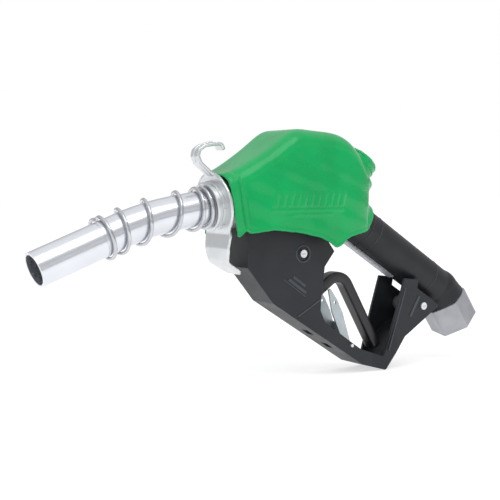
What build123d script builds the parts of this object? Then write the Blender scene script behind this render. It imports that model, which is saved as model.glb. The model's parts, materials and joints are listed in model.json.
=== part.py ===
"""Automatic fuel nozzle with a curved spout, a hooked front plate and a guarded lever.

The frame is the hose inlet: the origin is the centre of its mouth. The spout points to -X and
+Z is up. The nozzle is symmetric about the plane y = 0, so places are (x, z) pairs in that
plane, and an angle is measured from +X towards +Z. Sizes are millimetres and degrees.
"""
from build123d import *

import os
from math import atan2, cos, degrees, hypot, pi, radians, sin

os.makedirs("parts", exist_ok=True)

# ---------------------------------------------------------------- driving sizes
# hose inlet and handle
inlet_angle = -55.9          # direction out of the inlet's mouth
inlet_length = 42.5          # mouth to the bend of the handle
inlet_thread_r = 16.05       # one-inch pipe thread, drawn at its pitch radius
inlet_thread_depth = 25.0
inlet_hex_flats = 43.0
inlet_hex_length = 31.0
inlet_hex_turn = 12.0
handle_angle = -32.4         # from the valve down to the bend
handle_length = 161.0        # valve centre to the bend
handle_core_r = 16.3
handle_bore_r = 11.5
sleeve_wall = 2.7
sleeve_gap = 0.3
rib_width = 8.0
rib_reach = 20.8             # from the handle's axis to the rib's face

# valve body
valve_angle = 51.1           # from the stem's tip up to the poppet cap
chamber_r = 20.0
chamber_bore_r = 16.5
chamber_top = 29.0           # heights along the valve axis, from the valve centre
seat_height = -14.0
seat_bore_r = 12.0
outlet_depth = -28.0
outlet_pocket_r = 12.5
cone_top = -20.0
cone_bottom = -34.0
stem_boss_r = 13.6
stem_boss_bottom = -63.0
stem_r = 3.2
running_gap = 0.05

# outlet and spout
outlet_reach = 125.3         # valve centre to the hook plate, along X
outlet_rise = 2.5
barrel_r = 23.0
barrel_length = 50.0
waterway_r = 11.0
adapter_r = 17.5
adapter_front = 11.0
adapter_rear = 17.0
spout_od = 30.16             # 1-3/16 in tube
spout_wall = 2.1
spout_front = 105.0          # tip to the corner of the bend
spout_rear = 69.3            # corner of the bend to the hook plate
spout_front_angle = 21.0
spout_rear_angle = 9.2
spout_bend_r = 250.0
nut_r = 21.5
nut_length = 8.0
spring_wire = 3.2
spring_inside_gap = 0.9

# hook plate
plate_thickness = 3.0
plate_r = 28.7
hook_width = 13.0
strap_width = 40.0

# latch plunger
plunger_angle = 80.2
plunger_travel = 6.0
plunger_shaft_r = 4.0
plunger_head_r = 6.0
plunger_housing_r = 9.5
pin_r = 2.5
latch_pin_r = 2.2

# lever
lever_width = 15.0
lever_depth = 10.0
lever_core_depth = 6.0
lever_arch_r = 14.3
lever_swing = 15.0
coat_gap = 0.1

# hand guard
guard_wall = 2.5
guard_floor = 3.0
guard_half_front = 16.5
guard_half_rear = 19.8

# scuff cover
cover_wall = 2.5


# ---------------------------------------------------------------- places in the plane y = 0
def step(place, distance, angle, aside=0.0):
    """The place reached from `place` along `angle`, and `aside` to the left of that way."""
    a = radians(angle)
    return (place[0] + distance * cos(a) - aside * sin(a), place[1] + distance * sin(a) + aside * cos(a))


def point(place, y=0.0):
    return Vector(place[0], y, place[1])


def across(place, angle):
    """The plane square to `angle`: its z is the angle's direction, its x is +Y, its y is up."""
    a = radians(angle)
    return Plane(origin=point(place), x_dir=(0, 1, 0), z_dir=(cos(a), 0, sin(a)))


def heading(start, end):
    return degrees(atan2(end[1] - start[1], end[0] - start[0]))


def distance(start, end):
    return hypot(end[0] - start[0], end[1] - start[1])


mouth = (0.0, 0.0)
bend = step(mouth, -inlet_length, inlet_angle)
valve = step(bend, -handle_length, handle_angle)
plate = (valve[0] - outlet_reach, valve[1] + outlet_rise)      # rear face of the hook plate
barrel_end = step(plate, barrel_length, spout_rear_angle)
pocket = step(valve, outlet_depth + 2.0, valve_angle)
spout_corner = step(plate, -spout_rear, spout_rear_angle)
spout_tip = step(spout_corner, -spout_front, spout_front_angle)

lever_pivot = (valve[0] - 78.4, valve[1] - 58.7)
lever_dip = (lever_pivot[0] + 52.0, lever_pivot[1] - 26.0)
lever_crest = (lever_pivot[0] + 86.9, lever_pivot[1] - 1.8)
lever_end = (lever_pivot[0] + 130.8, lever_pivot[1] - 77.5)
clip_pivot = (lever_pivot[0] + 90.0, lever_pivot[1] - 71.5)
guard_front_screw = (valve[0] - 44.0, valve[1] - 42.2)
guard_rear_screw = (bend[0] - 37.6, bend[1] - 12.5)


# ---------------------------------------------------------------- shared shapes
# Each of these adds to, or cuts from, the part that is being built where it is called.
def rod(place, angle, radius, start, end, mode=Mode.ADD):
    """A cylinder on the axis through `place` at `angle`, between two distances along it."""
    with Locations(across(step(place, start, angle), angle).location):
        Cylinder(radius, end - start, align=(Align.CENTER, Align.CENTER, Align.MIN), mode=mode)


def cross_rod(place, radius, half_length, mode=Mode.ADD):
    """A cylinder along Y, centred on the plane y = 0."""
    with Locations(Plane(origin=point(place), z_dir=(0, 1, 0)).location):
        Cylinder(radius, 2 * half_length, mode=mode)


def side_rod(place, radius, inner, outer, mode=Mode.ADD):
    """Two cylinders along Y, one each side, from `inner` to `outer` away from the plane y = 0."""
    for side in (-1, 1):
        with Locations(Plane(origin=point(place, side * inner), z_dir=(0, side, 0)).location):
            Cylinder(radius, outer - inner, align=(Align.CENTER, Align.CENTER, Align.MIN), mode=mode)


def ball(place, radius, mode=Mode.ADD):
    with Locations(point(place)):
        Sphere(radius, mode=mode)


def turn(place, angle, corners, mode=Mode.ADD):
    """A turned shape on the axis through `place`; `corners` are (distance along it, radius)."""
    a = radians(angle)
    turning = Plane(origin=point(place), x_dir=(cos(a), 0, sin(a)), z_dir=(0, -1, 0))
    with BuildSketch(turning) as section:
        with BuildLine():
            Polyline(*corners, close=True)
        make_face()
    revolve(section.sketch, axis=Axis(point(place), (cos(a), 0, sin(a))), mode=mode)


def slab(corners, half_width, mode=Mode.ADD, radius=0.0, inner=0.0):
    """An outline in the plane y = 0, extruded both ways; with `inner`, two plates that far out."""
    with BuildSketch(Plane.XZ) as outline:
        with BuildLine():
            if radius:
                FilletPolyline(*corners, radius=radius, close=True)
            else:
                Polyline(*corners, close=True)
        make_face()
    if not inner:
        extrude(outline.sketch, amount=half_width, both=True, mode=mode)
        return
    for side in (-1, 1):
        plate_face = outline.sketch.moved(Location((0, side * inner, 0)))
        extrude(plate_face, amount=half_width - inner, dir=(0, side, 0), mode=mode)


def band(corners, depth, half_width, mode=Mode.ADD, radius=0.0):
    """A strip of even depth along a path in the plane y = 0."""
    with BuildSketch(Plane.XZ) as strip:
        with BuildLine() as path:
            if radius:
                FilletPolyline(*corners, radius=radius)
            else:
                Polyline(*corners)
        trace(path.line, depth)
    extrude(strip.sketch, amount=half_width, both=True, mode=mode)


def coil(place, angle, start, end, middle_r, wire_r, turns):
    """A compression spring: a helix of round wire between two distances along an axis."""
    plane = across(step(place, start + wire_r, angle), angle)
    length = end - start - 2 * wire_r
    path = Helix(pitch=length / turns, height=length, radius=middle_r, center=plane.origin,
                 direction=plane.z_dir, mode=Mode.PRIVATE)
    with BuildSketch(Plane(origin=path @ 0, z_dir=path % 0)) as wire:
        Circle(wire_r)
    sweep(wire.sketch, path=path, is_frenet=True)


def o_ring(place, angle, along, middle_r, section_r):
    """A round-section ring, square to an axis."""
    with Locations(across(step(place, along, angle), angle).location):
        Torus(middle_r, section_r)


def finish(piece, name):
    piece.part.label = name
    export_step(piece.part, f"parts/{name}.step")


# ---------------------------------------------------------------- body casting
handle_up = handle_angle + 180.0
neck_r = handle_core_r + 1.2
neck_length = inlet_length - inlet_hex_length
strainer_r = 14.5
strainer_depth = 11.0
latch_top = 103.0            # distances along the latch axis, from the lever's pivot
latch_flange_r = 19.0
latch_column_r = 15.0
latch_floor = 30.0
latch_step = 40.0
latch_groove = (71.0, 84.0)
latch_groove_r = plunger_head_r + 0.9
cap_screw_circle = 16.2
cap_screw_r = 1.5
packing_r = 6.5
packing_height = 5.0
guard_screw_r = 2.0
guard_screw_grip = 7.0
lug_r = 7.0
lug_web = 8.0
boss_lug_r = 6.2
boss_lug_inner = 9.2
rib_start = 24.0
rib_end = 100.0
lug_half = guard_half_rear - guard_wall - 0.4
edge_round = 3.0

with BuildPart() as body_casting:
    with BuildSketch(across(mouth, inlet_angle)):
        RegularPolygon(inlet_hex_flats / 2, 6, major_radius=False, rotation=inlet_hex_turn)
        fillet(vertices(), radius=edge_round)
    extrude(amount=-inlet_hex_length)
    chamfer(body_casting.faces().sort_by(Axis((0, 0, 0), across(mouth, inlet_angle).z_dir))[-1].edges(),
            length=1.2)
    rod(bend, inlet_angle, neck_r, 0, neck_length + 1)
    ball(bend, neck_r)
    rod(bend, handle_up, handle_core_r, 0, handle_length)
    turn(valve, valve_angle, [(chamber_top, 0), (chamber_top, chamber_r), (cone_top, chamber_r - 2),
                              (cone_bottom, stem_boss_r), (stem_boss_bottom, stem_boss_r),
                              (stem_boss_bottom, 0)])
    rod(plate, spout_rear_angle, barrel_r, 0, barrel_length)
    ball(barrel_end, barrel_r)
    rod(barrel_end, heading(barrel_end, pocket), waterway_r + 5, 0, distance(barrel_end, pocket))
    rod(lever_pivot, plunger_angle, plunger_housing_r, latch_floor, latch_top - 2)
    rod(lever_pivot, plunger_angle, latch_column_r, 80, latch_top - 2)
    rod(lever_pivot, plunger_angle, latch_flange_r, latch_top - 8, latch_top)
    slab([step(valve, rib_start, handle_angle, -handle_bore_r - 2),
          step(valve, rib_start, handle_angle, -rib_reach),
          step(valve, rib_end, handle_angle, -rib_reach),
          step(valve, rib_end, handle_angle, -handle_bore_r - 2)], rib_width / 2)
    slab([step(guard_rear_screw, lug_r - 1, handle_angle), step(guard_rear_screw, 1 - lug_r, handle_angle),
          step(guard_rear_screw, 1 - lug_r, handle_angle, 20), step(guard_rear_screw, lug_r - 1, handle_angle, 20)],
         lug_web / 2)
    cross_rod(guard_rear_screw, lug_r, lug_half)
    side_rod(guard_front_screw, boss_lug_r, boss_lug_inner, stem_boss_r)
    # waterways
    turn(valve, valve_angle, [(chamber_top + 1, 0), (chamber_top + 1, chamber_bore_r),
                              (seat_height, chamber_bore_r), (seat_height, seat_bore_r),
                              (outlet_depth, outlet_pocket_r), (outlet_depth, 0)], mode=Mode.SUBTRACT)
    rod(bend, handle_up, handle_bore_r, 0, handle_length, mode=Mode.SUBTRACT)
    ball(bend, handle_bore_r, mode=Mode.SUBTRACT)
    rod(bend, inlet_angle, handle_bore_r, 0, inlet_length, mode=Mode.SUBTRACT)
    rod(mouth, inlet_angle, strainer_r, -inlet_thread_depth - strainer_depth, 0, mode=Mode.SUBTRACT)
    rod(mouth, inlet_angle, inlet_thread_r, -inlet_thread_depth, 1, mode=Mode.SUBTRACT)
    rod(plate, spout_rear_angle, adapter_r + running_gap, -1, adapter_rear, mode=Mode.SUBTRACT)
    rod(plate, spout_rear_angle, waterway_r + 4, 0, barrel_length, mode=Mode.SUBTRACT)
    ball(barrel_end, waterway_r + 5, mode=Mode.SUBTRACT)
    rod(barrel_end, heading(barrel_end, pocket), waterway_r, 0, distance(barrel_end, pocket),
        mode=Mode.SUBTRACT)
    # the latch column crosses the waterway
    rod(lever_pivot, plunger_angle, plunger_housing_r, latch_step, 92)
    turn(lever_pivot, plunger_angle, [
        (latch_floor - 1, 0), (latch_floor - 1, plunger_shaft_r + running_gap),
        (latch_step, plunger_shaft_r + running_gap), (latch_step, plunger_head_r + running_gap),
        (latch_groove[0], plunger_head_r + running_gap), (latch_groove[0], latch_groove_r),
        (latch_groove[1], latch_groove_r), (latch_groove[1], plunger_head_r + running_gap),
        (latch_top - 4, plunger_head_r + running_gap), (latch_top - 4, latch_column_r - 1),
        (latch_top + 1, latch_column_r - 1), (latch_top + 1, 0)], mode=Mode.SUBTRACT)
    # stem bore and its packing chamber
    rod(valve, valve_angle, stem_r + running_gap, stem_boss_bottom - 1, outlet_depth + 1, mode=Mode.SUBTRACT)
    rod(valve, valve_angle, packing_r + running_gap, stem_boss_bottom - 1, stem_boss_bottom + packing_height,
        mode=Mode.SUBTRACT)
    # tapped holes
    side_rod(guard_front_screw, guard_screw_r, stem_boss_r - guard_screw_grip, stem_boss_r + 1,
             mode=Mode.SUBTRACT)
    side_rod(guard_rear_screw, guard_screw_r, lug_half - guard_screw_grip, lug_half + 1, mode=Mode.SUBTRACT)
    with Locations(across(step(lever_pivot, latch_top - 6, plunger_angle), plunger_angle).location):
        with PolarLocations(cap_screw_circle, 4, start_angle=45):
            Cylinder(cap_screw_r, 7, align=(Align.CENTER, Align.CENTER, Align.MIN), mode=Mode.SUBTRACT)
finish(body_casting, "body_casting")

# ---------------------------------------------------------------- handle sleeve
sleeve_r = handle_core_r + sleeve_gap + sleeve_wall
cuff_r = neck_r + sleeve_gap + sleeve_wall

with BuildPart() as handle_sleeve:
    rod(bend, handle_up, sleeve_r, 0, handle_length - rib_start - 6)
    ball(bend, cuff_r)
    turn(bend, inlet_angle, [(0, 0), (0, cuff_r), (neck_length - 0.5, cuff_r + 2), (neck_length - 0.5, 0)])
    rod(bend, handle_up, handle_core_r + sleeve_gap, 0, handle_length, mode=Mode.SUBTRACT)
    ball(bend, neck_r + sleeve_gap, mode=Mode.SUBTRACT)
    rod(bend, inlet_angle, neck_r + sleeve_gap, 0, inlet_length, mode=Mode.SUBTRACT)
    slab([step(valve, 0, handle_angle), step(valve, 0, handle_angle, -rib_reach - 5),
          step(valve, rib_end + sleeve_gap, handle_angle, -rib_reach - 5),
          step(valve, rib_end + sleeve_gap, handle_angle)],
         rib_width / 2 + sleeve_gap, mode=Mode.SUBTRACT)
    slab([step(guard_rear_screw, lug_r, handle_angle), step(guard_rear_screw, -lug_r, handle_angle),
          step(guard_rear_screw, -lug_r, handle_angle, 20), step(guard_rear_screw, lug_r, handle_angle, 20)],
         lug_web / 2 + sleeve_gap, mode=Mode.SUBTRACT)
finish(handle_sleeve, "handle_sleeve")

# ---------------------------------------------------------------- inlet strainer
with BuildPart() as inlet_strainer:
    turn(mouth, inlet_angle, [(-inlet_thread_depth - 1.5, strainer_r - 0.1), (-inlet_thread_depth - 1.5, 9.0),
                              (-inlet_thread_depth - 10, 9.0), (-inlet_thread_depth - 10, 0),
                              (-inlet_thread_depth - 10.8, 0), (-inlet_thread_depth - 10.8, 9.8),
                              (-inlet_thread_depth - 2.5, 9.8), (-inlet_thread_depth - 2.5, strainer_r - 0.1)])
    with Locations(across(step(mouth, -inlet_thread_depth - 12, inlet_angle), inlet_angle).location):
        with PolarLocations(5.8, 8):
            Cylinder(1.3, 6, mode=Mode.SUBTRACT)
finish(inlet_strainer, "inlet_strainer")

# ---------------------------------------------------------------- poppet cap and seal
cap_plug = 7.0
cap_flange = 6.0
cap_ring_r = 0.9

with BuildPart() as poppet_cap:
    turn(valve, valve_angle, [
        (chamber_top + cap_flange + 3, 0), (chamber_top + cap_flange + 3, 11), (chamber_top + cap_flange, 13.5),
        (chamber_top + cap_flange, chamber_r), (chamber_top, chamber_r),
        (chamber_top, chamber_bore_r - 0.1), (chamber_top - 1.5, chamber_bore_r - 0.1),
        (chamber_top - 1.5, chamber_bore_r - 2 * cap_ring_r), (chamber_top - 3.5, chamber_bore_r - 2 * cap_ring_r),
        (chamber_top - 3.5, chamber_bore_r - 0.1), (chamber_top - cap_plug, chamber_bore_r - 0.1),
        (chamber_top - cap_plug, 12), (chamber_top - 2, 12), (chamber_top - 2, stem_r + 1.2),
        (chamber_top - cap_plug, stem_r + 1.2), (chamber_top - cap_plug, stem_r + running_gap),
        (chamber_top + 2, stem_r + running_gap), (chamber_top + 2, 0)])
finish(poppet_cap, "poppet_cap")

with BuildPart() as cap_o_ring:
    o_ring(valve, valve_angle, chamber_top - 2.5, chamber_bore_r - cap_ring_r - 0.02, cap_ring_r - 0.04)
finish(cap_o_ring, "cap_o_ring")

# ---------------------------------------------------------------- main valve
seat_gap = 0.05
seal_thickness = 2.5
poppet_r = seat_bore_r + 3.0
poppet_disc = 4.0
stem_tip_r = stem_r
lever_face = lever_depth / 2
lever_slope = heading(lever_pivot, lever_dip)
# the stem's round tip rests on the arm: solve for where its axis meets the arm's raised face
tip_gap = 0.15
stem_offset = ((valve[0] - lever_pivot[0]) * -sin(radians(lever_slope))
               + (valve[1] - lever_pivot[1]) * cos(radians(lever_slope)))
tip_centre = -(stem_offset - lever_face - stem_tip_r - tip_gap) / sin(radians(valve_angle - lever_slope))
seal_top = seat_height + seat_gap + seal_thickness

with BuildPart() as main_stem:
    rod(valve, valve_angle, stem_r, tip_centre, seal_top + poppet_disc + 6)
    ball(step(valve, tip_centre, valve_angle), stem_tip_r)
    rod(valve, valve_angle, stem_r - 0.7, seal_top + poppet_disc + 6, chamber_top - 7)
finish(main_stem, "main_stem")

with BuildPart() as poppet_seal:
    turn(valve, valve_angle, [(seat_height + seat_gap, stem_r + 0.02), (seat_height + seat_gap, poppet_r - 0.5),
                              (seal_top, poppet_r - 0.5), (seal_top, stem_r + 0.02)])
finish(poppet_seal, "poppet_seal")

with BuildPart() as main_poppet:
    turn(valve, valve_angle, [
        (seal_top, stem_r + 0.02), (seal_top, poppet_r), (seal_top + poppet_disc, poppet_r),
        (seal_top + poppet_disc, 8), (seal_top + poppet_disc + 5, 5.5), (seal_top + poppet_disc + 5, stem_r + 0.02)])
finish(main_poppet, "main_poppet")

with BuildPart() as seal_retainer:
    turn(valve, valve_angle, [(seat_height + seat_gap - 3.5, stem_r + 0.02), (seat_height + seat_gap - 3.5, 6.5),
                              (seat_height + seat_gap, 8), (seat_height + seat_gap, stem_r + 0.02)])
finish(seal_retainer, "seal_retainer")

with BuildPart() as poppet_spring:
    coil(valve, valve_angle, seal_top + poppet_disc + 0.2, chamber_top - 2.2, 10.0, 0.8, 6)
finish(poppet_spring, "poppet_spring")

with BuildPart() as stem_packing:
    turn(valve, valve_angle, [
        (stem_boss_bottom + packing_height, stem_r + running_gap), (stem_boss_bottom + packing_height, packing_r),
        (stem_boss_bottom + 2.5, packing_r), (stem_boss_bottom + 2.5, stem_r + running_gap)])
finish(stem_packing, "stem_packing")

with BuildPart() as packing_nut:
    rod(valve, valve_angle, packing_r, stem_boss_bottom - 1, stem_boss_bottom + 2.4)
    with BuildSketch(across(step(valve, stem_boss_bottom - 4, valve_angle), valve_angle)):
        RegularPolygon(7.5, 6, major_radius=False)
    extrude(amount=4)
    rod(valve, valve_angle, stem_r + running_gap, stem_boss_bottom - 5, stem_boss_bottom + 3, mode=Mode.SUBTRACT)
finish(packing_nut, "packing_nut")

# ---------------------------------------------------------------- latch
head_start = 57.0
head_end = 88.0
balls_at = 78.0
latch_ball_r = 2.0
ball_circle = latch_pin_r + latch_ball_r + 0.2
pin_bottom = balls_at - 4
pin_bore_bottom = 62.0
eye_half = 5.3
diaphragm_t = 1.2
diaphragm_r = latch_flange_r - 0.5

with BuildPart() as latch_plunger:
    turn(lever_pivot, plunger_angle, [(0, 0), (0, plunger_shaft_r), (head_start, plunger_shaft_r),
                                      (head_start, plunger_head_r), (head_end, plunger_head_r), (head_end, 0)])
    cross_rod(lever_pivot, pin_r + 2.8, eye_half)
    cross_rod(lever_pivot, pin_r, eye_half + 1, mode=Mode.SUBTRACT)
    rod(lever_pivot, plunger_angle, latch_pin_r + 0.2, pin_bore_bottom, head_end + 1, mode=Mode.SUBTRACT)
    with Locations(across(step(lever_pivot, balls_at, plunger_angle), plunger_angle).location):
        with PolarLocations(0, 3, start_angle=60):
            Cylinder(latch_ball_r + 0.1, plunger_head_r + 1, rotation=(0, 90, 0),
                     align=(Align.CENTER, Align.CENTER, Align.MIN), mode=Mode.SUBTRACT)
finish(latch_plunger, "latch_plunger")

with BuildPart() as latch_balls:
    with Locations(across(step(lever_pivot, balls_at, plunger_angle), plunger_angle).location):
        with PolarLocations(ball_circle, 3, start_angle=60):
            Sphere(latch_ball_r)
finish(latch_balls, "latch_balls")

with BuildPart() as plunger_spring:
    coil(lever_pivot, plunger_angle, latch_step + 0.2, head_start - 0.2, 4.95, 0.45, 5)
finish(plunger_spring, "plunger_spring")

with BuildPart() as latch_pin:
    rod(lever_pivot, plunger_angle, latch_pin_r, pin_bottom, latch_top - 2)
    rod(lever_pivot, plunger_angle, 8, latch_top - 3, latch_top - 1.5)
finish(latch_pin, "latch_pin")

with BuildPart() as diaphragm:
    rod(lever_pivot, plunger_angle, diaphragm_r, latch_top, latch_top + diaphragm_t)
    with Locations(across(step(lever_pivot, latch_top, plunger_angle), plunger_angle).location):
        with PolarLocations(cap_screw_circle, 4, start_angle=45):
            Cylinder(cap_screw_r + 0.2, 5, mode=Mode.SUBTRACT)
finish(diaphragm, "diaphragm")

cap_base = latch_top + diaphragm_t
cap_height = 9.0
cap_roof = 2.0

with BuildPart() as diaphragm_cap:
    turn(lever_pivot, plunger_angle, [
        (cap_base, 13.5), (cap_base, latch_flange_r), (cap_base + 3, latch_flange_r), (cap_base + 3, 15.5),
        (cap_base + cap_height - 1, 15.5), (cap_base + cap_height, 14.5), (cap_base + cap_height, 0),
        (cap_base + cap_height - cap_roof, 0), (cap_base + cap_height - cap_roof, 13.5)])
    with Locations(across(step(lever_pivot, cap_base, plunger_angle), plunger_angle).location):
        with PolarLocations(cap_screw_circle, 4, start_angle=45):
            Cylinder(cap_screw_r + 0.2, 12, mode=Mode.SUBTRACT)
            with Locations((0, 0, 3)):
                Cylinder(3.0, 12, align=(Align.CENTER, Align.CENTER, Align.MIN), mode=Mode.SUBTRACT)
finish(diaphragm_cap, "diaphragm_cap")

with BuildPart() as diaphragm_spring:
    coil(lever_pivot, plunger_angle, cap_base + 0.2, cap_base + cap_height - cap_roof - 0.2, 8.0, 0.5, 3)
finish(diaphragm_spring, "diaphragm_spring")

with BuildPart() as cap_screws:
    with Locations(across(step(lever_pivot, cap_base + 3, plunger_angle), plunger_angle).location):
        with PolarLocations(cap_screw_circle, 4, start_angle=45):
            Cylinder(2.7, 2, align=(Align.CENTER, Align.CENTER, Align.MIN))
            Cylinder(cap_screw_r - 0.02, 9, align=(Align.CENTER, Align.CENTER, Align.MAX))
finish(cap_screws, "cap_screws")

# ---------------------------------------------------------------- lever
lever_path = [lever_pivot, lever_dip, lever_crest, lever_end]
grip_start = step(lever_dip, 5, heading(lever_dip, lever_crest))
grip_path = [grip_start, lever_crest, lever_end]
core_end = step(lever_end, -4, heading(lever_crest, lever_end))
core_half = lever_width / 2 - 2
fork_inner = eye_half + 0.4

with BuildPart() as lever_arm:
    band([step(grip_start, -2, heading(lever_dip, lever_crest)), lever_crest, core_end],
         lever_core_depth, core_half, radius=lever_arch_r)
    band([lever_pivot, lever_dip, step(grip_start, -0.1, heading(lever_dip, lever_crest))],
         lever_depth, lever_width / 2, radius=lever_depth / 2 + 1)
    cross_rod(lever_pivot, lever_depth / 2, lever_width / 2)
    band([step(lever_pivot, -lever_depth, lever_slope), step(lever_pivot, lever_depth, lever_slope)],
         2 * lever_depth, fork_inner, mode=Mode.SUBTRACT)
    cross_rod(lever_pivot, pin_r + running_gap, lever_width, mode=Mode.SUBTRACT)
finish(lever_arm, "lever_arm")

with BuildPart() as lever_grip:
    band(grip_path, lever_depth, lever_width / 2, radius=lever_arch_r)
    fillet(lever_grip.edges().filter_by(lambda edge: abs(abs(edge.center().Y) - lever_width / 2) < 0.01)
           .filter_by(lambda edge: edge.length > lever_depth + 1), radius=2.2)
    band([step(grip_start, -1, heading(lever_dip, lever_crest)), lever_crest,
          step(core_end, coat_gap, heading(lever_crest, lever_end))],
         lever_core_depth + 2 * coat_gap, core_half + coat_gap, mode=Mode.SUBTRACT, radius=lever_arch_r)
finish(lever_grip, "lever_grip")

with BuildPart() as lever_pivot_pin:
    cross_rod(lever_pivot, pin_r, lever_width / 2 + 1.8)
    side_rod(lever_pivot, pin_r + 1.2, lever_width / 2 + 0.3, lever_width / 2 + 1.5)
finish(lever_pivot_pin, "lever_pivot_pin")

# ---------------------------------------------------------------- hand guard
guard_chin = (lever_pivot[0] - 25.1, lever_pivot[1] + 6.2)
guard_brow = (guard_chin[0], guard_chin[1] + 35)
guard_toe = step(guard_chin, 42.6, -50.6)
guard_heel = step(guard_toe, 121.5, -32.2)
guard_tail = step(guard_heel, 27.5, -15.5)
guard_knee = step(guard_tail, 38.0, 53.5)
guard_foot = (guard_rear_screw[0] + 19.8, guard_rear_screw[1] - 2.1)
floor_line = [guard_brow, guard_chin, guard_toe, guard_heel, guard_tail, guard_knee, guard_foot]
foot_top = [(guard_foot[0], guard_foot[1] + 2.1), step(guard_rear_screw, 11.3, 49.0),
            step(guard_rear_screw, 19.3, 113.0)]
leg_top = [step(guard_rear_screw, 26.8, 103.0), step(guard_rear_screw, 36.9, 130.0)]
leg_front = (guard_tail[0] - 2.0, guard_tail[1] + 13.0)
sill = [(guard_heel[0] - 3.2, guard_heel[1] + 15.5), (guard_heel[0] - 45.0, guard_heel[1] + 43.5)]
cheek = [(guard_heel[0] - 50.5, guard_heel[1] + 55.0), (guard_heel[0] - 50.0, guard_heel[1] + 64.0),
         (guard_heel[0] - 46.0, guard_heel[1] + 95.0)]
cheek_top = [(valve[0] - 8.6, valve[1] - 41.4), (valve[0] - 15.6, valve[1] - 32.1),
             (valve[0] - 30.6, valve[1] - 23.1), (valve[0] - 67.6, valve[1] - 13.1)]
guard_side = floor_line + foot_top + leg_top + [leg_front] + sill + cheek + cheek_top
screw_recess_r = 6.5
clip_pin_r = 1.6


def guard_plan(shrink):
    """The guard from above: narrow in front, wider at the rear leg."""
    ramp_start = guard_tail[0] - 15
    ramp_end = guard_tail[0] + 12
    upper = [(guard_chin[0] - 5, guard_half_front - shrink), (ramp_start, guard_half_front - shrink),
             (ramp_end, guard_half_rear - shrink), (guard_foot[0] + 5, guard_half_rear - shrink)]
    lower = [(x, -y) for x, y in reversed(upper)]
    with BuildSketch(Plane.XY) as plan:
        with BuildLine():
            Polyline(*upper, *lower, close=True)
        make_face()
    return plan.sketch


with BuildPart() as hand_guard:
    slab(guard_side, 2 * guard_half_rear)
    fillet(hand_guard.edges().filter_by(Axis.Y).filter_by(
        lambda edge: min(distance((edge.center().X, edge.center().Z), corner)
                         for corner in (guard_toe, guard_tail, guard_knee, leg_front, *sill, *cheek)) < 0.1),
        radius=3.0)
    extrude(guard_plan(0).moved(Location((0, 0, -60))), amount=300, mode=Mode.INTERSECT)
    hollow = extrude(guard_plan(guard_wall).moved(Location((0, 0, -60))), amount=300, mode=Mode.PRIVATE)
    with BuildSketch(Plane.XZ) as skin:
        with BuildLine() as rim:
            Polyline(*floor_line)
        trace(rim.line, 2 * guard_floor)
    floor_skin = extrude(skin.sketch, amount=2 * guard_half_rear, both=True, mode=Mode.PRIVATE)
    add(hollow - floor_skin, mode=Mode.SUBTRACT)
    cross_rod(clip_pivot, clip_pin_r, guard_half_rear, mode=Mode.SUBTRACT)
    side_rod(guard_front_screw, guard_screw_r + 0.3, guard_half_front - guard_wall - 1, guard_half_front + 1,
             mode=Mode.SUBTRACT)
    side_rod(guard_front_screw, screw_recess_r, guard_half_front - 0.8, guard_half_front + 1,
             mode=Mode.SUBTRACT)
    side_rod(guard_rear_screw, guard_screw_r + 0.3, guard_half_rear - guard_wall - 1, guard_half_rear + 1,
             mode=Mode.SUBTRACT)
    with Locations(across(step(guard_toe, 59.0, -32.2), 57.8).location,
                   across(step(guard_toe, 85.5, -32.2), 57.8).location):
        Box(9.0, 9.5, 20, mode=Mode.SUBTRACT)
finish(hand_guard, "hand_guard")

with BuildPart() as guard_screws:
    side_rod(guard_front_screw, 3.6, guard_half_front - 0.8, guard_half_front + 1.2)
    side_rod(guard_front_screw, guard_screw_r - 0.05, stem_boss_r - guard_screw_grip + 1, guard_half_front)
    side_rod(guard_rear_screw, 3.6, guard_half_rear, guard_half_rear + 1.8)
    side_rod(guard_rear_screw, guard_screw_r - 0.05, lug_half - guard_screw_grip + 1, guard_half_rear + 1)
    with Locations(*[point(place, side * half) for place, half in
                     ((guard_front_screw, guard_half_front + 1.2), (guard_rear_screw, guard_half_rear + 1.8))
                     for side in (-1, 1)]):
        Box(4.0, 1.6, 0.9, mode=Mode.SUBTRACT)
finish(guard_screws, "guard_screws")

# ---------------------------------------------------------------- hold-open clip
clip_inner = 8.6
clip_outer = 10.4
clip_height = 57.0
clip_lean = 111.0
clip_side = [step(clip_pivot, 4, -120), step(clip_pivot, 5.5, -20), step(clip_pivot, 30, clip_lean, -6.0),
             step(clip_pivot, 44, clip_lean, -4.5), step(clip_pivot, clip_height, clip_lean, -1.0),
             step(clip_pivot, clip_height, clip_lean, 1.5), step(clip_pivot, 36, clip_lean, 5.0),
             step(clip_pivot, 18, clip_lean, 4.0)]

with BuildPart() as hold_open_clip:
    slab(clip_side, clip_outer, inner=clip_inner)
    band([step(clip_pivot, 9, clip_lean, -3.5), step(clip_pivot, 20, clip_lean, -4.5)], 1.8, clip_inner)
    cross_rod(clip_pivot, clip_pin_r + running_gap, 2 * clip_outer, mode=Mode.SUBTRACT)
    cross_rod(step(clip_pivot, 43, clip_lean, -1.0), 1.5, 2 * clip_outer, mode=Mode.SUBTRACT)
finish(hold_open_clip, "hold_open_clip")

with BuildPart() as clip_pin:
    cross_rod(clip_pivot, clip_pin_r, guard_half_rear - 1)
finish(clip_pin, "clip_pin")

with BuildPart() as clip_spring:
    for side in (-1, 1):
        for turn_number in range(3):
            with Locations(Plane(origin=point(clip_pivot, side * (4.0 + 1.15 * turn_number)),
                                 z_dir=(0, 1, 0)).location):
                Torus(clip_pin_r + 0.9, 0.6)
finish(clip_spring, "clip_spring")

# ---------------------------------------------------------------- spout
spout_r = spout_od / 2
nut_front = plate_thickness + nut_length
check_seat = 12.0
check_bore_r = 12.0
check_seat_r = 8.5
check_travel = 4.0
check_lift_gap = 0.05
guide_t = 2.5
port_from_tip = 12.0


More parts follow.
